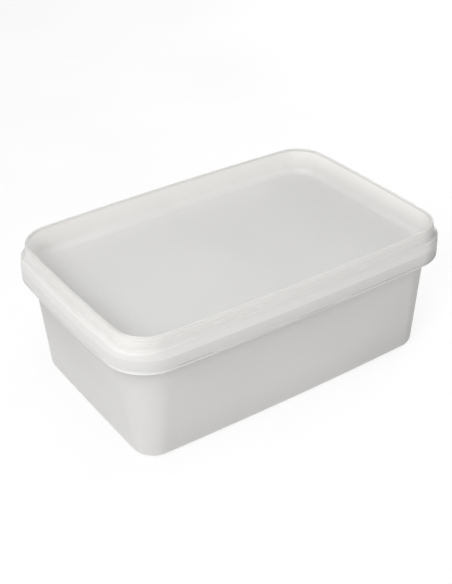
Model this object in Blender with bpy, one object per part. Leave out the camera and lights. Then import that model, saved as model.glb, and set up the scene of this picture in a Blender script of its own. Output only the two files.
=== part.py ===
"""A closed rectangular ice cream tub of two litres: a drafted tub with a press-on lid.

The long side runs along X, the short side along Y, and the tub stands on z = 0.
Every level of the tub and of the lid is a rounded rectangle whose four sides bow outward
a little, as moulded polypropylene walls do. Each piece is a stack of such outlines, so a
profile is a list of stations: how far inside the piece's outline, and how high.
"""

import math

import bmesh
import bpy

MM = 0.001

# The lid's outline at the lower lip of its skirt, before its sides bow outward.
LID_LENGTH = 222.8 * MM
LID_WIDTH = 144.8 * MM
LID_CORNER_RADIUS = 23.0 * MM
SKIRT_BOW_LONG = 1.9 * MM
SKIRT_BOW_SHORT = 3.05 * MM
CREST_BOW_LONG = 2.55 * MM
CREST_BOW_SHORT = 1.5 * MM

# Heights of the lid's features above the floor, and how far inside the outline they lie.
LIP_HEIGHT = 66.6 * MM
SKIRT_TOP_HEIGHT = 75.0 * MM
SKIRT_TOP_INSET = 0.3 * MM
LEDGE_HEIGHT = 79.5 * MM
LEDGE_INSET = 2.15 * MM
WALL_FOOT_HEIGHT = 80.5 * MM
WALL_FOOT_INSET = 3.45 * MM
CREST_HEIGHT = 88.1 * MM
CREST_OUTER_INSET = 3.75 * MM
CREST_INNER_INSET = 5.55 * MM
PANEL_HEIGHT = 71.0 * MM
PANEL_INSET = 10.7 * MM
PANEL_FILLET = 4.4 * MM
PANEL_THICKNESS = 0.8 * MM
SKIRT_THICKNESS = 1.1 * MM

# The crest's corners keep LID_CORNER_RADIUS less their inset. Lower down the corners depart
# from that by these amounts: squarer at the ledge, rounder at the lip.
LEDGE_CORNER_CHANGE = -3.4 * MM
SKIRT_TOP_CORNER_CHANGE = 0.6 * MM
LIP_CORNER_CHANGE = 1.3 * MM

# Roundings along the lid's folds and round its lip.
LEDGE_ROUNDING = 0.9 * MM
WALL_FOOT_ROUNDING = 2.2 * MM
SKIRT_TOP_ROUNDING = 2.0 * MM
LIP_ROUNDING = 0.5 * MM
LIP_STAND_OUT = 0.1 * MM
LIP_BAND_HEIGHT = 1.5 * MM
INNER_LIP_ROUNDING = 0.25 * MM

# Fine stiffening beads that run round the outside of the upper wall.
BEAD_COUNT = 3
BEAD_PITCH = 1.75 * MM
FIRST_BEAD_BELOW_CREST = 2.3 * MM
BEAD_HEIGHT = 0.2 * MM
BEAD_WIDTH = 0.9 * MM
BEAD_CROWN_WIDTH = 0.36 * MM

# The tub: its outline at the base and where it passes the lid's lip.
BASE_LENGTH = 201.9 * MM
BASE_WIDTH = 122.2 * MM
BASE_CORNER_RADIUS = 13.3 * MM
RIM_LENGTH = 214.5 * MM
RIM_WIDTH = 132.8 * MM
RIM_CORNER_RADIUS = 23.4 * MM
TUB_BOW_LONG = 1.75 * MM
TUB_BOW_SHORT = 0.55 * MM
BASE_ROUNDING = 5.1 * MM

# The flange on top of the tub, and the slope from its underside down to the wall.
FLANGE_THICKNESS = 1.4 * MM
FLANGE_SLOPE = 0.7 * MM

# The lid rests on the tub with this clearance all round.
CLEARANCE = 0.3 * MM

# Facets of one outline.
CORNER_STEPS = 10
LONG_SIDE_STEPS = 8
SHORT_SIDE_STEPS = 6

# Facets of the roundings in a profile, and of the tub's wall from base to flange.
FILLET_STEPS = 6
CREST_STEPS = 6
LIP_STEPS = 4
FOOT_STEPS = 4
BASE_STEPS = 5
SMALL_STEPS = 2
WALL_STEPS = 4

# Natural white polypropylene: linear colour and roughness.
TUB_COLOUR = (0.60, 0.59, 0.58)
TUB_ROUGHNESS = 0.42
LID_COLOUR = (0.72, 0.71, 0.70)
LID_ROUGHNESS = 0.38

# Edges with a steeper fold than this are shaded sharp.
SHARP_ANGLE = math.radians(35)
QUARTER_TURN = math.pi / 2


def outline(length, width, radius, bow_long, bow_short):
    """Points of a rounded rectangle whose sides bow outward, anticlockwise from above."""
    half_length = length / 2
    half_width = width / 2
    corners = (
        (half_length - radius, half_width - radius, SHORT_SIDE_STEPS),
        (radius - half_length, half_width - radius, LONG_SIDE_STEPS),
        (radius - half_length, radius - half_width, SHORT_SIDE_STEPS),
        (half_length - radius, radius - half_width, LONG_SIDE_STEPS),
    )
    points = []
    for index, (centre_x, centre_y, side_steps) in enumerate(corners):
        start = index * QUARTER_TURN
        if points:
            points += straight(points[-1], arc_point(centre_x, centre_y, radius, start), side_steps)
        for step in range(CORNER_STEPS + 1):
            angle = start + QUARTER_TURN * step / CORNER_STEPS
            points.append(arc_point(centre_x, centre_y, radius, angle))
    points += straight(points[-1], points[0], SHORT_SIDE_STEPS)
    return [bowed(point, half_length, half_width, bow_long, bow_short) for point in points]


def arc_point(centre_x, centre_y, radius, angle):
    return (centre_x + radius * math.cos(angle), centre_y + radius * math.sin(angle))


def straight(start, end, steps):
    """The points between two ends, without the ends."""
    shares = [step / steps for step in range(1, steps)]
    return [tuple(a + (b - a) * share for a, b in zip(start, end)) for share in shares]


def bowed(point, half_length, half_width, bow_long, bow_short):
    """Moves a point outward along the parabola that its side follows."""
    x, y = point
    along_long_side = 1 - (x / half_length) ** 2
    along_short_side = 1 - (y / half_width) ** 2
    return (
        x + math.copysign(bow_short * max(along_short_side, 0), x),
        y + math.copysign(bow_long * max(along_long_side, 0), y),
    )


def rounding(centre_inset, centre_height, radius, start_degrees, end_degrees, steps):
    """Stations round an arc: 0 degrees points into the piece, 90 degrees points up."""
    stations = []
    for step in range(steps + 1):
        angle = math.radians(start_degrees + (end_degrees - start_degrees) * step / steps)
        stations.append(
            (centre_inset + radius * math.cos(angle), centre_height + radius * math.sin(angle))
        )
    return stations


def softened(before, corner, after, radius, steps):
    """Stations that round off the corner of a profile between two straight stretches."""
    def toward(end):
        distance = math.dist(corner, end)
        return [(e - c) / distance for c, e in zip(corner, end)]

    back = toward(before)
    ahead = toward(after)
    half_angle = math.acos(sum(a * b for a, b in zip(back, ahead))) / 2
    reach = radius / math.tan(half_angle)
    start = [c + reach * d for c, d in zip(corner, back)]
    end = [c + reach * d for c, d in zip(corner, ahead)]
    stations = []
    for step in range(steps + 1):
        t = step / steps
        stations.append(
            tuple(
                (1 - t) ** 2 * s + 2 * t * (1 - t) * c + t**2 * e
                for s, c, e in zip(start, corner, end)
            )
        )
    return stations


def loft(name, rings, material):
    """A closed body through a stack of rings with equal point counts, capped at both ends."""
    mesh = bpy.data.meshes.new(name)
    build = bmesh.new()
    loops = [[build.verts.new(point) for point in ring] for ring in rings]
    for lower, upper in zip(loops, loops[1:]):
        for index in range(len(lower)):
            following = (index + 1) % len(lower)
            build.faces.new((lower[index], lower[following], upper[following], upper[index]))
    build.faces.new(loops[0])
    build.faces.new(loops[-1])
    bmesh.ops.recalc_face_normals(build, faces=build.faces)
    build.to_mesh(mesh)
    build.free()
    mesh.shade_smooth()
    mesh.set_sharp_from_angle(angle=SHARP_ANGLE)
    mesh.materials.append(material)
    piece = bpy.data.objects.new(name, mesh)
    bpy.context.scene.collection.objects.link(piece)
    return piece


def moulded_plastic(name, colour, roughness):
    """Natural white polypropylene."""
    material = bpy.data.materials.new(name)
    material.use_nodes = True
    shader = material.node_tree.nodes["Principled BSDF"]
    shader.inputs["Base Color"].default_value = (*colour, 1)
    shader.inputs["Roughness"].default_value = roughness
    shader.inputs["Metallic"].default_value = 0
    return material


def lid_ring(inset, height, corner_change, bow_long, bow_short):
    """One level of the lid, an even distance inside its outline but for the corners."""
    points = outline(
        LID_LENGTH - 2 * inset,
        LID_WIDTH - 2 * inset,
        LID_CORNER_RADIUS - inset + corner_change,
        bow_long,
        bow_short,
    )
    return [(x, y, height) for x, y in points]


def crest_ring(inset, height):
    """One level of the recess, the crest or the upper wall."""
    return lid_ring(inset, height, 0, CREST_BOW_LONG, CREST_BOW_SHORT)


def skirt_ring(inset, height):
    """One level from the wall's foot down, where the crest's outline turns into the skirt's."""
    levels = (
        (WALL_FOOT_HEIGHT, 0, CREST_BOW_LONG, CREST_BOW_SHORT),
        (LEDGE_HEIGHT, LEDGE_CORNER_CHANGE, SKIRT_BOW_LONG, SKIRT_BOW_SHORT),
        (SKIRT_TOP_HEIGHT, SKIRT_TOP_CORNER_CHANGE, SKIRT_BOW_LONG, SKIRT_BOW_SHORT),
        (LIP_HEIGHT, LIP_CORNER_CHANGE, SKIRT_BOW_LONG, SKIRT_BOW_SHORT),
    )
    for upper, lower in zip(levels, levels[1:]):
        if height >= lower[0]:
            break
    share = min((upper[0] - height) / (upper[0] - lower[0]), 1)
    share = max(share, 0)
    return lid_ring(inset, height, *(a + (b - a) * share for a, b in zip(upper[1:], lower[1:])))


def recess_stations():
    """The sunken panel's edge, its fillet, and the wall that rises to the crest."""
    fillet_height = PANEL_HEIGHT + PANEL_FILLET
    return rounding(PANEL_INSET, fillet_height, PANEL_FILLET, 270, 180, FILLET_STEPS)


def crest_stations():
    """The thin round-topped crest, from its inner side over to its outer side."""
    radius = (CREST_INNER_INSET - CREST_OUTER_INSET) / 2
    middle = (CREST_INNER_INSET + CREST_OUTER_INSET) / 2
    return rounding(middle, CREST_HEIGHT - radius, radius, 0, 180, CREST_STEPS)


def upper_wall_stations(top):
    """The drafted wall below the crest, with its fine beads."""
    top_inset, top_height = top

    def wall_inset(height):
        share = (top_height - height) / (top_height - WALL_FOOT_HEIGHT)
        return top_inset + (WALL_FOOT_INSET - top_inset) * share

    foot = BEAD_WIDTH / 2
    crown = BEAD_CROWN_WIDTH / 2
    section = ((foot, 0), (crown, BEAD_HEIGHT), (-crown, BEAD_HEIGHT), (-foot, 0))
    stations = []
    for bead in range(BEAD_COUNT):
        middle = CREST_HEIGHT - FIRST_BEAD_BELOW_CREST - bead * BEAD_PITCH
        for offset, stand_out in section:
            height = middle + offset
            stations.append((wall_inset(height) - stand_out, height))
    return stations


def ledge_and_skirt_stations(wall_end):
    """The ledge at the wall's foot, the sloping face below it, and the skirt."""
    foot = (WALL_FOOT_INSET, WALL_FOOT_HEIGHT)
    ledge = (LEDGE_INSET, LEDGE_HEIGHT)
    skirt_top = (SKIRT_TOP_INSET, SKIRT_TOP_HEIGHT)
    skirt_end = (LIP_STAND_OUT, LIP_HEIGHT + LIP_BAND_HEIGHT)
    stations = softened(wall_end, foot, ledge, WALL_FOOT_ROUNDING, FOOT_STEPS)
    stations += softened(foot, ledge, skirt_top, LEDGE_ROUNDING, SMALL_STEPS)
    stations += softened(ledge, skirt_top, skirt_end, SKIRT_TOP_ROUNDING, SMALL_STEPS)
    stations.append(skirt_end)
    return stations


def lip_stations():
    """The rolled lower lip of the skirt, and the skirt's inner face."""
    middle_height = LIP_HEIGHT + LIP_ROUNDING
    stations = rounding(LIP_ROUNDING, middle_height, LIP_ROUNDING, 180, 270, LIP_STEPS)
    inner_inset = SKIRT_THICKNESS + LIP_STAND_OUT
    stations.append((inner_inset - INNER_LIP_ROUNDING, LIP_HEIGHT))
    stations.append((inner_inset, LIP_HEIGHT + INNER_LIP_ROUNDING))
    stations.append((inner_inset, PANEL_HEIGHT - PANEL_THICKNESS))
    return stations


def make_lid(material):
    crest = crest_stations()
    wall = upper_wall_stations(crest[-1])
    rings = []
    for inset, height in recess_stations() + crest + wall:
        rings.append(crest_ring(inset, height))
    for inset, height in ledge_and_skirt_stations(wall[-1]) + lip_stations():
        rings.append(skirt_ring(inset, height))
    return loft("lid", rings, material)


def tub_ring(inset, height):
    """One level of the tub's drafted wall, an even distance inside its outline."""
    share = height / LIP_HEIGHT
    points = outline(
        BASE_LENGTH + (RIM_LENGTH - BASE_LENGTH) * share - 2 * inset,
        BASE_WIDTH + (RIM_WIDTH - BASE_WIDTH) * share - 2 * inset,
        BASE_CORNER_RADIUS + (RIM_CORNER_RADIUS - BASE_CORNER_RADIUS) * share - inset,
        TUB_BOW_LONG,
        TUB_BOW_SHORT,
    )
    return [(x, y, height) for x, y in points]


def make_tub(material):
    top = PANEL_HEIGHT - PANEL_THICKNESS - CLEARANCE
    flange_inset = SKIRT_THICKNESS + LIP_STAND_OUT + CLEARANCE
    wall_top = top - FLANGE_THICKNESS - FLANGE_SLOPE
    base = rounding(BASE_ROUNDING, BASE_ROUNDING, BASE_ROUNDING, 270, 180, BASE_STEPS)
    rings = [tub_ring(inset, height) for inset, height in base]
    for step in range(1, WALL_STEPS + 1):
        rings.append(tub_ring(0, BASE_ROUNDING + (wall_top - BASE_ROUNDING) * step / WALL_STEPS))
    for height in (top - FLANGE_THICKNESS, top):
        rings.append(skirt_ring(flange_inset, height))
    return loft("tub", rings, material)


def clear_scene():
    for item in list(bpy.data.objects):
        bpy.data.objects.remove(item, do_unlink=True)


def main():
    clear_scene()
    make_tub(moulded_plastic("tub_plastic", TUB_COLOUR, TUB_ROUGHNESS))
    make_lid(moulded_plastic("lid_plastic", LID_COLOUR, LID_ROUGHNESS))


main()
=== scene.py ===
import math

import bmesh
import bpy
import numpy as np
from mathutils import Matrix, Vector, noise


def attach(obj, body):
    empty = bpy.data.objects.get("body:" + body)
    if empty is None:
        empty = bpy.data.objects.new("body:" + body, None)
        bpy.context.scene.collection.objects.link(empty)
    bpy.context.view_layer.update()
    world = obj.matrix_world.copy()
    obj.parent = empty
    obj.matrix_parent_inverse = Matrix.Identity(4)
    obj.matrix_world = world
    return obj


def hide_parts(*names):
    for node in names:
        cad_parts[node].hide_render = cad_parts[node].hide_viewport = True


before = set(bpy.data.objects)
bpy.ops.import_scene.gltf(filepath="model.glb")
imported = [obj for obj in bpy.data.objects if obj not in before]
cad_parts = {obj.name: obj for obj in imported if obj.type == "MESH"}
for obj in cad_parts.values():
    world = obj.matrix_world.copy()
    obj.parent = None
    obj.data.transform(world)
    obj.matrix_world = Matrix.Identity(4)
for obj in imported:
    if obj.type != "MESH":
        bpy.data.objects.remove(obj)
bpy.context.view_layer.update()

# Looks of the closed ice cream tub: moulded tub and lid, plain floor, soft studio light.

MM = 0.001

# ---------------------------------------------------------------- sizes, as in the CAD model
# Outline of the lid at the lip of its skirt, before its sides bow outward.
LID_LENGTH = 222.8 * MM
LID_WIDTH = 144.8 * MM
LID_CORNER_RADIUS = 23.0 * MM
SKIRT_BOW = (1.9 * MM, 3.05 * MM)
CREST_BOW = (2.55 * MM, 1.5 * MM)

# Heights above the floor, and distances inside the outline.
LIP_HEIGHT = 66.6 * MM
SKIRT_TOP = (0.3 * MM, 75.0 * MM)
LEDGE = (2.15 * MM, 79.5 * MM)
WALL_FOOT = (3.45 * MM, 80.5 * MM)
CREST_HEIGHT = 88.1 * MM
CREST_OUTER_INSET = 3.75 * MM
CREST_INNER_INSET = 5.55 * MM
PANEL_HEIGHT = 71.0 * MM
PANEL_INSET = 10.7 * MM
PANEL_FILLET = 4.4 * MM
PANEL_THICKNESS = 0.8 * MM
SKIRT_THICKNESS = 1.1 * MM
CREST_HALF_WIDTH = (CREST_INNER_INSET - CREST_OUTER_INSET) / 2
LIP_ROUNDING = 0.5 * MM
LIP_STAND_OUT = 0.1 * MM
LIP_BAND_HEIGHT = 3 * LIP_ROUNDING
LIP_FOLD_ROUNDING = 0.2 * MM
INNER_LIP_ROUNDING = 0.3 * MM
INNER_LIP_HEIGHT = 2 * MM
FOOT_ROUNDING = 2.2 * MM
LEDGE_ROUNDING = 0.9 * MM
SKIRT_TOP_ROUNDING = 2.0 * MM
CLEARANCE = 0.3 * MM

# Changes of the corner radius from an even inset: squarer at the ledge, rounder at the lip.
LEDGE_CORNER_CHANGE = -3.4 * MM
SKIRT_TOP_CORNER_CHANGE = 0.6 * MM
LIP_CORNER_CHANGE = 1.3 * MM

# Fine beads round the outside of the upper wall.
BEAD_COUNT = 3
BEAD_PITCH = 1.75 * MM
FIRST_BEAD_BELOW_CREST = 2.3 * MM
BEAD_HEIGHT = 0.16 * MM
BEAD_WIDTH = 0.95 * MM
BEADED_WALL_STEP = 0.15 * MM
PLAIN_WALL_FOOT = 1.2 * MM

# The tub's outline at the base and at the height of the lid's lip: length, width, radius.
TUB_BASE = (201.9 * MM, 122.2 * MM, 13.3 * MM)
TUB_RIM = (214.5 * MM, 132.8 * MM, 23.4 * MM)
TUB_BOW = (1.75 * MM, 0.55 * MM)
BASE_ROUNDING = 5.1 * MM
FLANGE_THICKNESS = 1.4 * MM
FLANGE_TAPER = 0.5 * FLANGE_THICKNESS

# Slight unevenness of the moulded walls: its height, its wavelength, and where it starts.
LID_WAVES = (0.06 * MM, 38 * MM, 3.1)
TUB_WAVES = (0.07 * MM, 45 * MM, 7.7)

# The plastic's tone with painted light and shade: 0 gives the dark end colour, 1 the light end
# colour, and a sum may pass either. The plain levels are the plastic's tone, on the lid with
# painted light for the light that comes through its thin walls. A name with a side, an end or a
# corner in it holds the painted light or shade added there. Where two values stand, the first is
# for the lower end and the second for the upper end.
PANEL_TONE_AND_PAINTED_LIGHT = 0.53
PANEL_PAINTED_LIGHT_LEFT = 0.08
RECESS_TONE_AND_PAINTED_LIGHT = (0.94, 0.98)
RECESS_PAINTED_SHADE_RIGHT = (-0.33, 0.05)
RECESS_PAINTED_LIGHT_LEFT_CORNER = (0.22, 0.42)
RECESS_PAINTED_SHADE_RIGHT_CORNER = -0.12
RECESS_PAINTED_LIGHT_BACK_TO_RIGHT = 0.10
CREST_TONE_AND_PAINTED_LIGHT = 0.34
CREST_PAINTED_SHADE_LEFT = -0.16
CREST_PAINTED_LIGHT_RIGHT = 0.18
WALL_TONE_AND_PAINTED_LIGHT = (0.53, 0.56)
WALL_PAINTED_SHADE_LEFT = (0.0, -0.22)
LEDGE_TONE_AND_PAINTED_LIGHT = 0.43
LEDGE_PAINTED_HIGHLIGHT_LEFT = 0.10
SLOPE_TONE_AND_PAINTED_LIGHT = 0.48
SLOPE_PAINTED_SHADE_LEFT = -0.10
SKIRT_TONE_AND_PAINTED_LIGHT = (0.15, 0.34)
SKIRT_PAINTED_LIGHT_LEFT = (0.08, -0.09)
LIP_PAINTED_HIGHLIGHT_NEAR = 0.58
NEAR_END_PAINTED_LIGHT = 0.10
NEAR_CORNER_PAINTED_LIGHT_AND_SHADE = -0.14
RIGHT_CORNER_PAINTED_SHADE = (-1.05, -0.62)
TUB_TONE = 0.23
TUB_PAINTED_SHADOW_LEFT = (0.0, -0.50)
TUB_PAINTED_SHADE_RIGHT_END = (-0.22, 0.02)
TUB_PAINTED_SHADE_RIGHT_CORNER = (-0.36, -0.54)
TUB_PAINTED_SHADOW_UNDER_LID_LEFT = -0.25
TUB_PAINTED_LIGHT_UNDER_LID_FRONT = 0.10
TUB_PAINTED_SHADE_LOW = -0.12
TUB_PAINTED_LIGHT_NEAR_CORNER = 0.06
TUB_PAINTED_LIGHT_FOOT = 0.48

# Where those amounts hold and how much of them: heights, or shares of a height or an amount.
RECESS_WALL_LIGHT_FROM = 0.9
LEDGE_SHADE = 1.4
LEDGE_BAND = 1.2 * MM
WALL_FOOT_SHADE = 0.5
WALL_FOOT_BAND = 4 * MM
RIGHT_END_SHADE = 0.6
RIGHT_CORNER_SHADE = 1.4
TUB_NEAR_SHARE = 0.15
TUB_LEFT_FROM = 0.2
TUB_LOW_BAND = 0.4
TUB_UNDER_LID_BAND = (0.75, 0.95)
TUB_FOOT_BAND = (0.2, 0.9)

# Fineness of the meshes: steps round the outline, along the profiles, and over the caps.
CORNER_STEPS = 24
LONG_SIDE_STEPS = 30
SHORT_SIDE_STEPS = 20
RECESS_STEPS = 14
CREST_STEPS = 14
WALL_FOOT_STEPS = 10
LEDGE_FACE_STEPS = 4
LEDGE_STEPS = 6
SLOPE_STEPS = 6
SKIRT_TOP_STEPS = 8
SKIRT_STEPS = 10
LIP_FOLD_STEPS = 2
LIP_STEPS = 8
INNER_LIP_STEPS = 4
BASE_STEPS = 12
TUB_WALL_STEPS = 40
LID_CAP_STEPS = 24
TUB_CAP_STEPS = 20


# ---------------------------------------------------------------- outlines and profiles
def outline(length, width, radius, bow):
    """Points of a rounded rectangle whose sides bow outward, anticlockwise from above."""
    half = np.array([length, width]) / 2
    points = []
    for turn, steps in enumerate((LONG_SIDE_STEPS, SHORT_SIDE_STEPS) * 2):
        start = math.pi / 2 * turn
        sign = np.array([1 if turn in (0, 3) else -1, 1 if turn < 2 else -1])
        angles = start + np.linspace(0, math.pi / 2, CORNER_STEPS + 1)
        arc = sign * (half - radius) + radius * np.stack([np.cos(angles), np.sin(angles)], 1)
        points.append(arc)
        end = arc[-1]
        following = sign * ((-1, 1) if turn % 2 == 0 else (1, -1)) * (half - radius)
        next_start = following + radius * np.array([math.cos(angles[-1]), math.sin(angles[-1])])
        shares = np.linspace(0, 1, steps + 1)[1:-1, None]
        points.append(end + (next_start - end) * shares)
    points = np.concatenate(points)
    inside = np.clip(1 - (points / half) ** 2, 0, None)
    return points + np.sign(points) * np.array([bow[1], bow[0]]) * inside[:, ::-1]


def lid_ring(inset, height, corner_change, bow):
    radius = LID_CORNER_RADIUS - inset + corner_change
    points = outline(LID_LENGTH - 2 * inset, LID_WIDTH - 2 * inset, radius, bow)
    return at_height(points, height)


def crest_ring(inset, height):
    """One level of the recess, the crest or the upper wall."""
    return lid_ring(inset, height, 0, CREST_BOW)


def skirt_ring(inset, height):
    """One level from the wall's foot down, where the crest's outline turns into the skirt's."""
    heights = (LIP_HEIGHT, SKIRT_TOP[1], LEDGE[1], WALL_FOOT[1])
    changes = (LIP_CORNER_CHANGE, SKIRT_TOP_CORNER_CHANGE, LEDGE_CORNER_CHANGE, 0)
    bow = [
        np.interp(height, heights, (skirt, skirt, skirt, crest))
        for skirt, crest in zip(SKIRT_BOW, CREST_BOW)
    ]
    return lid_ring(inset, height, np.interp(height, heights, changes), bow)


def tub_outline(inset, height):
    share = height / LIP_HEIGHT
    length, width, radius = (b + (r - b) * share for b, r in zip(TUB_BASE, TUB_RIM))
    return outline(length - 2 * inset, width - 2 * inset, radius - inset, TUB_BOW)


def rounding(centre, radius, start_degrees, end_degrees, steps):
    """Stations (inset, height) round an arc: 0 degrees points inward, 90 degrees up."""
    angles = np.radians(np.linspace(start_degrees, end_degrees, steps + 1))
    return [(centre[0] + radius * math.cos(a), centre[1] + radius * math.sin(a)) for a in angles]


def softened(before, corner, after, radius, steps):
    """Stations that round off the corner of a profile between two straight stretches."""
    corner = np.array(corner)
    back, ahead = (np.array(end) - corner for end in (before, after))
    back /= np.linalg.norm(back)
    ahead /= np.linalg.norm(ahead)
    reach = radius / math.tan(math.acos(back @ ahead) / 2)
    start, end = corner + reach * back, corner + reach * ahead
    return [
        tuple((1 - t) ** 2 * start + 2 * t * (1 - t) * corner + t * t * end)
        for t in np.linspace(0, 1, steps + 1)
    ]


def between(start, end, steps):
    """The stations on the straight stretch between two others."""
    return [
        tuple(np.array(start) + (np.array(end) - np.array(start)) * step / steps)
        for step in range(1, steps)
    ]


# ---------------------------------------------------------------- meshes
def loft(name, rings, cap_steps, tone_and_painted_light):
    """A closed mesh through a stack of rings. Both ends close in steps towards the middle.

    The last argument has the values of each ring's points: the plastic's tone with painted light
    and shade.
    """
    first, last = rings[0], rings[-1]
    shares = [1 - step / cap_steps for step in range(1, cap_steps)]
    ends = [shrunk(first, share) for share in reversed(shares)]
    rings = ends + list(rings) + [shrunk(last, share) for share in shares]
    tone_and_painted_light = [tone_and_painted_light[0]] * len(shares) + list(tone_and_painted_light) + [tone_and_painted_light[-1]] * len(shares)
    count = len(first)
    points = np.concatenate(rings + [middle(first), middle(last)])
    faces = []
    for level in range(len(rings) - 1):
        low, high = level * count, (level + 1) * count
        for index in range(count):
            following = (index + 1) % count
            faces.append((low + index, low + following, high + following, high + index))
    start, top = len(rings) * count, (len(rings) - 1) * count
    for index in range(count):
        following = (index + 1) % count
        faces.append((start, following, index))
        faces.append((start + 1, top + index, top + following))
    mesh = bpy.data.meshes.new(name)
    mesh.from_pydata(points.tolist(), [], faces)
    mesh.update()
    # The attribute holds the plastic's tone with painted light and shade.
    values = np.concatenate(tone_and_painted_light + [[tone_and_painted_light[0].mean(), tone_and_painted_light[-1].mean()]])
    mesh.attributes.new("tone_and_painted_light", "FLOAT", "POINT").data.foreach_set("value", values)
    piece = bpy.data.objects.new(name, mesh)
    bpy.context.scene.collection.objects.link(piece)
    return piece


def shrunk(ring, share):
    return ring * np.array([share, share, 1])


def middle(ring):
    return np.array([[0, 0, ring[0][2]]])


def at_height(points, height):
    return np.column_stack([points, np.full(len(points), height)])


def facing(ring):
    """The way each point of a ring faces: unit vectors out of the outline."""
    along = np.roll(ring, -1, 0)[:, :2] - np.roll(ring, 1, 0)[:, :2]
    along /= np.linalg.norm(along, axis=1)[:, None]
    return along[:, 1], -along[:, 0]


def blend(ends, value, low, high):
    """Goes smoothly from the first end to the second while the value goes from low to high."""
    share = np.clip((value - low) / (high - low), 0, 1)
    return ends[0] + (ends[1] - ends[0]) * share * share * (3 - 2 * share)


def at_corner(one_way, other_way):
    """1 in the middle of a corner, 0 on the two sides next to it."""
    return 2 * one_way * other_way


def turned_right(x, y):
    """How far a wall faces the right, which weighs the painted shade there: 0 at the front and
    back, most at the right corners.
    """
    return np.clip(x, 0, 1) * (RIGHT_END_SHADE + RIGHT_CORNER_SHADE * np.abs(y))


def face_outward(piece):
    """Turns every face the same way, with the normals out of the solid."""
    build = bmesh.new()
    build.from_mesh(piece.data)
    bmesh.ops.recalc_face_normals(build, faces=build.faces)
    build.to_mesh(piece.data)
    build.free()
    piece.data.shade_smooth()


def undulate(piece, height, wavelength, offset):
    """Moves the surface a little in and out, square to itself."""
    shift = Vector((offset, offset, offset))
    spots = [(vertex.co.copy(), vertex.normal.copy()) for vertex in piece.data.vertices]
    moved = [
        place + normal * height * noise.noise(place / wavelength + shift)
        for place, normal in spots
    ]
    piece.data.vertices.foreach_set("co", np.array(moved).ravel())
    piece.data.update()


# ---------------------------------------------------------------- the lid
def recess_profile():
    centre = (PANEL_INSET, PANEL_HEIGHT + PANEL_FILLET)
    return rounding(centre, PANEL_FILLET, 270, 180, RECESS_STEPS)


def crest_profile():
    centre = (CREST_OUTER_INSET + CREST_HALF_WIDTH, CREST_HEIGHT - CREST_HALF_WIDTH)
    return rounding(centre, CREST_HALF_WIDTH, 0, 180, CREST_STEPS)


def beaded_wall_profile(top):
    """The drafted wall from the crest's end down to its foot, with raised beads."""
    stations = []
    end = WALL_FOOT[1] + PLAIN_WALL_FOOT
    for height in np.arange(top[1] - BEADED_WALL_STEP, end, -BEADED_WALL_STEP):
        share = (top[1] - height) / (top[1] - WALL_FOOT[1])
        inset = top[0] + (WALL_FOOT[0] - top[0]) * share
        for bead in range(BEAD_COUNT):
            off = height - (CREST_HEIGHT - FIRST_BEAD_BELOW_CREST - bead * BEAD_PITCH)
            if abs(off) < BEAD_WIDTH / 2:
                inset -= BEAD_HEIGHT * math.cos(math.pi * off / BEAD_WIDTH) ** 2
        stations.append((inset, height))
    return stations


def skirt_profile(wall_end):
    """From the wall's foot over the ledge, the slope and the skirt, and back up inside it."""
    skirt_end = (LIP_STAND_OUT, LIP_HEIGHT + LIP_BAND_HEIGHT)
    foot = softened(wall_end, WALL_FOOT, LEDGE, FOOT_ROUNDING, WALL_FOOT_STEPS)
    ledge = softened(WALL_FOOT, LEDGE, SKIRT_TOP, LEDGE_ROUNDING, LEDGE_STEPS)
    top = softened(LEDGE, SKIRT_TOP, skirt_end, SKIRT_TOP_ROUNDING, SKIRT_TOP_STEPS)
    lip_centre = (LIP_ROUNDING, LIP_HEIGHT + LIP_ROUNDING)
    lip = rounding(lip_centre, LIP_ROUNDING, 180, 270, LIP_STEPS)
    fold = softened(top[-1], skirt_end, lip[0], LIP_FOLD_ROUNDING, LIP_FOLD_STEPS)
    inner = SKIRT_THICKNESS + LIP_STAND_OUT
    inner_centre = (inner - INNER_LIP_ROUNDING, LIP_HEIGHT + INNER_LIP_ROUNDING)
    return (
        foot + between(foot[-1], ledge[0], LEDGE_FACE_STEPS)
        + ledge + between(ledge[-1], top[0], SLOPE_STEPS)
        + top + between(top[-1], skirt_end, SKIRT_STEPS)
        + [skirt_end] + fold[1:] + lip
        + rounding(inner_centre, INNER_LIP_ROUNDING, 270, 360, INNER_LIP_STEPS)
        + [(inner, LIP_HEIGHT + INNER_LIP_HEIGHT), (inner, PANEL_HEIGHT - PANEL_THICKNESS)]
    )


def recess_tone_and_painted_light(ring, height):
    """Tone of the sunken panel and the walls round it, with painted light and shade: the walls are
    lightest, with painted shade low on the right and painted light at the left-back corner.
    """
    x, y = facing(ring)
    left, right, back = np.clip(-x, 0, 1), np.clip(x, 0, 1), np.clip(y, 0, 1)
    along = ring[:, 0] / (LID_LENGTH / 2)
    # Painted light on the panel's left half.
    panel = PANEL_TONE_AND_PAINTED_LIGHT + PANEL_PAINTED_LIGHT_LEFT * np.clip(-along, 0, 1)
    plain, towards_right, left_corner = (
        blend(ends, height, PANEL_HEIGHT, CREST_HEIGHT)
        for ends in (RECESS_TONE_AND_PAINTED_LIGHT, RECESS_PAINTED_SHADE_RIGHT, RECESS_PAINTED_LIGHT_LEFT_CORNER)
    )
    # Painted shade low on the right wall and at the right-back corner, painted light at the
    # left-back corner, and the back wall lighter to the right and darker to the left.
    wall = (
        plain + towards_right * right + left_corner * at_corner(left, back)
        + RECESS_PAINTED_SHADE_RIGHT_CORNER * at_corner(right, back)
        + RECESS_PAINTED_LIGHT_BACK_TO_RIGHT * along * back
    )
    wall_start = PANEL_HEIGHT + RECESS_WALL_LIGHT_FROM * PANEL_FILLET
    return blend((panel, wall), height, PANEL_HEIGHT, wall_start)


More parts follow.
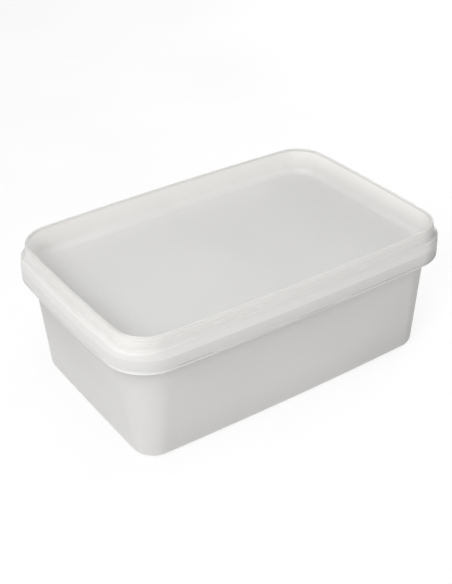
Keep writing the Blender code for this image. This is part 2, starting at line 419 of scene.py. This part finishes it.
def outer_tone_and_painted_light(ring, inset, height):
    """Tone of the crest, the upper wall, the ledge, the slope and the skirt, with painted light
    and shade.
    """
    x, y = facing(ring)
    left, right, front = np.clip(-x, 0, 1), np.clip(x, 0, 1), np.clip(-y, 0, 1)
    near_corner = at_corner(left, front)
    near = blend((0, 1), -ring[:, 1], -LID_WIDTH / 2, LID_WIDTH / 2)
    # Painted shade over the right end and corners, darkest at the lip, and painted light over the
    # near half of the left end.
    right_corner = blend(RIGHT_CORNER_PAINTED_SHADE, height, LIP_HEIGHT, CREST_HEIGHT)
    shade = right_corner * turned_right(x, y) + NEAR_END_PAINTED_LIGHT * left * near
    if height > CREST_HEIGHT - CREST_HALF_WIDTH:
        # Crest: painted shade on the left and at the near corner, painted light on the right, and
        # the right's painted shade fading towards the inner edge.
        tone_and_painted_light = CREST_TONE_AND_PAINTED_LIGHT + CREST_PAINTED_SHADE_LEFT * left + CREST_PAINTED_LIGHT_RIGHT * right ** 2
        tone_and_painted_light = tone_and_painted_light + NEAR_CORNER_PAINTED_LIGHT_AND_SHADE * near_corner * front
        across = (CREST_INNER_INSET - inset) / (CREST_INNER_INSET - CREST_OUTER_INSET)
        shade = shade * across * np.abs(y)
    elif height > WALL_FOOT[1]:
        foot = WALL_FOOT[1]
        # Upper wall: painted shade up its left side, a painted highlight on the near corner's left
        # half and painted shade on its front half, and the right's painted shade eased at the
        # foot.
        tone_and_painted_light = blend(WALL_TONE_AND_PAINTED_LIGHT, height, foot, CREST_HEIGHT)
        tone_and_painted_light = tone_and_painted_light + blend(WALL_PAINTED_SHADE_LEFT, height, foot, CREST_HEIGHT) * left
        tone_and_painted_light = tone_and_painted_light + NEAR_CORNER_PAINTED_LIGHT_AND_SHADE * near_corner * (front - left)
        shade = shade * blend((WALL_FOOT_SHADE, 1), height, foot, foot + WALL_FOOT_BAND)
    elif height > LEDGE[1] - LEDGE_BAND:
        # Ledge: a painted highlight along the left, and deeper painted shade at the right.
        tone_and_painted_light = LEDGE_TONE_AND_PAINTED_LIGHT + LEDGE_PAINTED_HIGHLIGHT_LEFT * left
        shade = shade * LEDGE_SHADE
    elif height > SKIRT_TOP[1]:
        # Slope: painted shade on the left.
        tone_and_painted_light = SLOPE_TONE_AND_PAINTED_LIGHT + SLOPE_PAINTED_SHADE_LEFT * left
    else:
        # Skirt: darker towards the lip, with painted light low and painted shade high on the left,
        # and a painted highlight on the lip at the near corner.
        tone_and_painted_light = blend(SKIRT_TONE_AND_PAINTED_LIGHT, height, LIP_HEIGHT, SKIRT_TOP[1])
        tone_and_painted_light = tone_and_painted_light + blend(SKIRT_PAINTED_LIGHT_LEFT, height, LIP_HEIGHT, SKIRT_TOP[1]) * left
        if height < LIP_HEIGHT + 2 * LIP_ROUNDING:
            tone_and_painted_light = tone_and_painted_light + LIP_PAINTED_HIGHLIGHT_NEAR * near_corner
    return tone_and_painted_light + shade


def make_lid():
    recess, crest = recess_profile(), crest_profile()
    inner_wall = between(recess[-1], crest[0], RECESS_STEPS)
    wall = beaded_wall_profile(crest[-1])
    inner, upper, lower = recess + inner_wall, crest + wall, skirt_profile(wall[-1])
    rings = [crest_ring(*station) for station in inner + upper]
    rings += [skirt_ring(*station) for station in lower]
    tone_and_painted_light = [recess_tone_and_painted_light(ring, height) for ring, (_, height) in zip(rings, inner)]
    tone_and_painted_light += [
        outer_tone_and_painted_light(ring, *station) for ring, station in zip(rings[len(inner):], upper + lower)
    ]
    piece = loft("lid_shell", rings, LID_CAP_STEPS, tone_and_painted_light)
    face_outward(piece)
    undulate(piece, *LID_WAVES)
    return piece


# ---------------------------------------------------------------- the tub
def tub_tone_and_painted_light(ring, height):
    """Tone of the tub's wall, with painted shade up its left end, under the lid and at the right,
    and painted light at the foot.
    """
    x, y = facing(ring)
    left, front = np.clip(-x, 0, 1), np.clip(-y, 0, 1)
    front_only = front ** 4
    level = height / LIP_HEIGHT
    far = blend((TUB_NEAR_SHARE, 1), ring[:, 1], -TUB_BASE[1] / 2, TUB_BASE[1] / 2)
    right_end = blend((0, 1), ring[:, 0], 0, TUB_BASE[0] / 2) * front
    under_lid = blend((0, 1), level, *TUB_UNDER_LID_BAND)
    # Painted shadow of the lid's overhang up the left end, deepest at the back and just under the
    # lid; painted light under the lid at the front.
    tone_and_painted_light = TUB_TONE + np.interp(level, (TUB_LEFT_FROM, 1), TUB_PAINTED_SHADOW_LEFT) * far * left
    tone_and_painted_light = tone_and_painted_light + under_lid * TUB_PAINTED_SHADOW_UNDER_LID_LEFT * left
    tone_and_painted_light = tone_and_painted_light + under_lid * TUB_PAINTED_LIGHT_UNDER_LID_FRONT * front_only
    # Painted shade low on the right part of the front, and over the right end and corners.
    tone_and_painted_light = tone_and_painted_light + blend(TUB_PAINTED_SHADE_RIGHT_END, level, 0, 1) * right_end
    tone_and_painted_light = tone_and_painted_light + blend(TUB_PAINTED_SHADE_RIGHT_CORNER, level, 0, 1) * turned_right(x, y)
    # Painted light at the near corner, painted shade low on the front and on the left end's back
    # part, and painted light at the foot that fills its contact shade.
    tone_and_painted_light = tone_and_painted_light + TUB_PAINTED_LIGHT_NEAR_CORNER * at_corner(left, front)
    tone_and_painted_light = tone_and_painted_light + blend((TUB_PAINTED_SHADE_LOW, 0), level, 0, TUB_LOW_BAND) * (front_only + left * far)
    return tone_and_painted_light + blend((TUB_PAINTED_LIGHT_FOOT, 0), height / BASE_ROUNDING, *TUB_FOOT_BAND)


def make_tub():
    top = PANEL_HEIGHT - PANEL_THICKNESS - CLEARANCE
    flange_inset = SKIRT_THICKNESS + LIP_STAND_OUT + CLEARANCE
    wall_top = top - FLANGE_THICKNESS - FLANGE_TAPER
    base = rounding((BASE_ROUNDING, BASE_ROUNDING), BASE_ROUNDING, 270, 180, BASE_STEPS)
    rings = [at_height(tub_outline(inset, height), height) for inset, height in base]
    for height in np.linspace(BASE_ROUNDING, wall_top, TUB_WALL_STEPS)[1:]:
        rings.append(at_height(tub_outline(0, height), height))
    for height in (top - FLANGE_THICKNESS, top):
        rings.append(skirt_ring(flange_inset, height))
    tone_and_painted_light = [tub_tone_and_painted_light(ring, ring[0][2]) for ring in rings]
    piece = loft("tub_shell", rings, TUB_CAP_STEPS, tone_and_painted_light)
    face_outward(piece)
    undulate(piece, *TUB_WAVES)
    return piece


# ---------------------------------------------------------------- materials
# Linear colours of the plastic at the two ends of its tone with painted light and shade.
DARK_END_COLOUR = (0.500, 0.495, 0.485)
LIGHT_END_COLOUR = (0.800, 0.793, 0.781)
TUB_ROUGHNESS = 0.42
LID_ROUGHNESS = 0.36
ROUGHNESS_SPREAD = (-0.03, 0.05)
CLOUDINESS = 0.02
REFRACTION = 1.49
SUBSURFACE_WEIGHT = 0.5
SUBSURFACE_RADIUS = (1.0, 0.97, 0.92)
SUBSURFACE_SCALE = 3.5 * MM

# Noise in the plastic, as scale and detail, and for the bumps their distance and strength.
CLOUDS = (22, 3)
PATCHES = (60, 4)
WAVES = (95, 2)
SKIN = (2600, 2)
WAVE_BUMP = (0.2 * MM, 0.12)
SKIN_BUMP = (0.04 * MM, 0.25)
NOISE_RANGE = (0.3, 0.7)
TUB_NOISE_PLACE = 1.3
LID_NOISE_PLACE = 4.7

# The floor: how much the paper reflects, less on the light table, and the table's own light.
PAPER = 0.96
PAPER_ON_TABLE = 0.22
TABLE = 0.76
LIGHT_TABLE_RADIUS = (0.3, 3.0)
PAPER_CLOUDS = (9, 3)
PAPER_GRAIN = (0.98, 1.0)
PAPER_ROUGHNESS = 0.7
PAPER_SPECULAR = 0.2


def new_material(name):
    material = bpy.data.materials.new(name)
    material.use_nodes = True
    tree = material.node_tree
    return material, tree, tree.nodes["Principled BSDF"]


def noise_node(tree, coordinates, scale, detail):
    node = tree.nodes.new("ShaderNodeTexNoise")
    node.inputs["Scale"].default_value = scale
    node.inputs["Detail"].default_value = detail
    tree.links.new(coordinates, node.inputs["Vector"])
    return node.outputs["Fac"]


def mapped(tree, value, low, high):
    node = tree.nodes.new("ShaderNodeMapRange")
    node.inputs["From Min"].default_value = NOISE_RANGE[0]
    node.inputs["From Max"].default_value = NOISE_RANGE[1]
    node.inputs["To Min"].default_value = low
    node.inputs["To Max"].default_value = high
    tree.links.new(value, node.inputs["Value"])
    return node.outputs["Result"]


def bump(tree, height, distance, strength, below=None):
    node = tree.nodes.new("ShaderNodeBump")
    node.inputs["Distance"].default_value = distance
    node.inputs["Strength"].default_value = strength
    tree.links.new(height, node.inputs["Height"])
    if below is not None:
        tree.links.new(below, node.inputs["Normal"])
    return node.outputs["Normal"]


def polypropylene(name, roughness, noise_place):
    """Natural white polypropylene: satin, a little translucent, with a fine moulded skin.

    Its base colour runs from the dark end to the light end with the mesh's attribute, which holds
    the plastic's tone with painted light and shade.
    """
    material, tree, shader = new_material(name)
    place = tree.nodes.new("ShaderNodeTexCoord").outputs["Object"]
    shift = tree.nodes.new("ShaderNodeMapping")
    shift.inputs["Location"].default_value = (noise_place, -noise_place, 2 * noise_place)
    tree.links.new(place, shift.inputs["Vector"])
    place = shift.outputs["Vector"]

    # The mesh's tone with painted light and shade picks the base colour between the two ends.
    tone_and_painted_light = tree.nodes.new("ShaderNodeAttribute")
    tone_and_painted_light.attribute_name = "tone_and_painted_light"
    cloudy = mapped(tree, noise_node(tree, place, *CLOUDS), -CLOUDINESS, CLOUDINESS)
    amount = tree.nodes.new("ShaderNodeMath")
    amount.operation = "ADD"
    tree.links.new(tone_and_painted_light.outputs["Fac"], amount.inputs[0])
    tree.links.new(cloudy, amount.inputs[1])
    mix = tree.nodes.new("ShaderNodeMix")
    mix.data_type = "RGBA"
    mix.clamp_factor = False
    tree.links.new(amount.outputs["Value"], mix.inputs["Factor"])
    mix.inputs["A"].default_value = (*DARK_END_COLOUR, 1)
    mix.inputs["B"].default_value = (*LIGHT_END_COLOUR, 1)
    tree.links.new(mix.outputs["Result"], shader.inputs["Base Color"])

    patches = noise_node(tree, place, *PATCHES)
    low, high = (roughness + spread for spread in ROUGHNESS_SPREAD)
    tree.links.new(mapped(tree, patches, low, high), shader.inputs["Roughness"])
    normal = bump(tree, noise_node(tree, place, *WAVES), *WAVE_BUMP)
    normal = bump(tree, noise_node(tree, place, *SKIN), *SKIN_BUMP, normal)
    tree.links.new(normal, shader.inputs["Normal"])
    shader.inputs["IOR"].default_value = REFRACTION
    shader.inputs["Subsurface Weight"].default_value = SUBSURFACE_WEIGHT
    shader.inputs["Subsurface Radius"].default_value = SUBSURFACE_RADIUS
    shader.inputs["Subsurface Scale"].default_value = SUBSURFACE_SCALE
    return material


def floor_material():
    """White paper on a light table: lit from below round the tub, plain paper farther out."""
    material, tree, shader = new_material("pale_floor")
    place = tree.nodes.new("ShaderNodeTexCoord").outputs["Object"]
    distance = tree.nodes.new("ShaderNodeVectorMath")
    distance.operation = "LENGTH"
    tree.links.new(place, distance.inputs[0])
    outward = tree.nodes.new("ShaderNodeMapRange")
    outward.interpolation_type = "SMOOTHSTEP"
    outward.inputs["From Min"].default_value = LIGHT_TABLE_RADIUS[0]
    outward.inputs["From Max"].default_value = LIGHT_TABLE_RADIUS[1]
    tree.links.new(distance.outputs["Value"], outward.inputs["Value"])
    grain = mapped(tree, noise_node(tree, place, *PAPER_CLOUDS), *PAPER_GRAIN)
    for socket, near, far in (("Base Color", PAPER_ON_TABLE, PAPER), ("Emission Color", TABLE, 0)):
        mix = tree.nodes.new("ShaderNodeMix")
        mix.data_type = "RGBA"
        tree.links.new(outward.outputs["Result"], mix.inputs["Factor"])
        mix.inputs["A"].default_value = (near, near, near, 1)
        mix.inputs["B"].default_value = (far, far, far, 1)
        scaled = tree.nodes.new("ShaderNodeVectorMath")
        scaled.operation = "SCALE"
        tree.links.new(mix.outputs["Result"], scaled.inputs[0])
        tree.links.new(grain, scaled.inputs["Scale"])
        tree.links.new(scaled.outputs["Vector"], shader.inputs[socket])
    shader.inputs["Emission Strength"].default_value = 1.0
    shader.inputs["Roughness"].default_value = PAPER_ROUGHNESS
    shader.inputs["Specular IOR Level"].default_value = PAPER_SPECULAR
    return material


# ---------------------------------------------------------------- floor, light and camera
FLOOR_RADIUS = 6.0
FLOOR_SIDES = 96
FLOOR_GAP = 0.2 * MM
WORLD_LEVEL = 0.5

# name: azimuth from the front towards +X, elevation, distance, size, watts.
# Every lamp looks at the tub.
LAMPS = {
    "key": (-60, 35, 1.2, 0.6, 7.0),
    "upper_left": (-45, 60, 1.2, 0.8, 2.2),
    "overhead": (0, 88, 2.6, 2.4, 9.2),
    "right": (90, 35, 1.2, 0.6, 1.95),
    "low_right": (120, 12, 1.2, 0.5, 2.8),
}
AIM = Vector((0, 0, 0.045))


def make_floor():
    bpy.ops.mesh.primitive_circle_add(
        vertices=FLOOR_SIDES, radius=FLOOR_RADIUS, fill_type="NGON"
    )
    floor = bpy.context.object
    floor.name = "floor"
    floor.location.z = -FLOOR_GAP
    floor.data.materials.append(floor_material())


def make_world():
    world = bpy.data.worlds.new("studio")
    bpy.context.scene.world = world
    world.use_nodes = True
    background = world.node_tree.nodes["Background"]
    background.inputs["Color"].default_value = (1, 1, 1, 1)
    background.inputs["Strength"].default_value = WORLD_LEVEL


def direction(azimuth, elevation):
    """Unit vector towards a place seen from the tub; azimuth 0 is the front, 90 the right."""
    azimuth, elevation = math.radians(azimuth), math.radians(elevation)
    return Vector((
        math.sin(azimuth) * math.cos(elevation),
        -math.cos(azimuth) * math.cos(elevation),
        math.sin(elevation),
    ))


def make_lamps():
    for name, (azimuth, elevation, distance, size, watts) in LAMPS.items():
        lamp = bpy.data.lights.new(name, "AREA")
        lamp.shape = "DISK"
        lamp.size = size
        lamp.energy = watts
        holder = bpy.data.objects.new(name, lamp)
        holder.location = direction(azimuth, elevation) * distance
        holder.rotation_euler = (AIM - holder.location).to_track_quat("-Z", "Y").to_euler()
        bpy.context.scene.collection.objects.link(holder)


# The viewpoint: direction from the target, distance, lens.
VIEW_AZIMUTH = -33.92
VIEW_ELEVATION = 32.59
VIEW_ROLL = -1.12
VIEW_DISTANCE = 663.2 * MM
VIEW_TARGET = Vector((0.6, 7.9, 39.6)) * MM
LENS = 65.96
SENSOR_WIDTH = 36


def make_camera():
    back = direction(VIEW_AZIMUTH, VIEW_ELEVATION)
    roll = math.radians(VIEW_ROLL)
    right = Vector((0, 0, 1)).cross(back).normalized()
    up = back.cross(right)
    right, up = (
        math.cos(roll) * right + math.sin(roll) * up,
        -math.sin(roll) * right + math.cos(roll) * up,
    )
    camera = bpy.data.cameras.new("camera")
    camera.lens = LENS
    camera.sensor_width = SENSOR_WIDTH
    holder = bpy.data.objects.new("camera", camera)
    bpy.context.scene.collection.objects.link(holder)
    turn = Matrix((right, up, back)).transposed().to_4x4()
    holder.matrix_world = Matrix.Translation(VIEW_TARGET + back * VIEW_DISTANCE) @ turn
    bpy.context.scene.camera = holder


# ---------------------------------------------------------------- the whole scene
def main():
    tub = make_tub()
    plastic = polypropylene("tub_polypropylene", TUB_ROUGHNESS, TUB_NOISE_PLACE)
    tub.data.materials.append(plastic)
    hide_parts("tub")
    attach(tub, "root")

    lid = make_lid()
    plastic = polypropylene("lid_polypropylene", LID_ROUGHNESS, LID_NOISE_PLACE)
    lid.data.materials.append(plastic)
    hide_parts("lid")
    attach(lid, "root")

    make_floor()
    make_world()
    make_lamps()
    make_camera()
    bpy.context.scene.view_settings.view_transform = "Standard"


main()
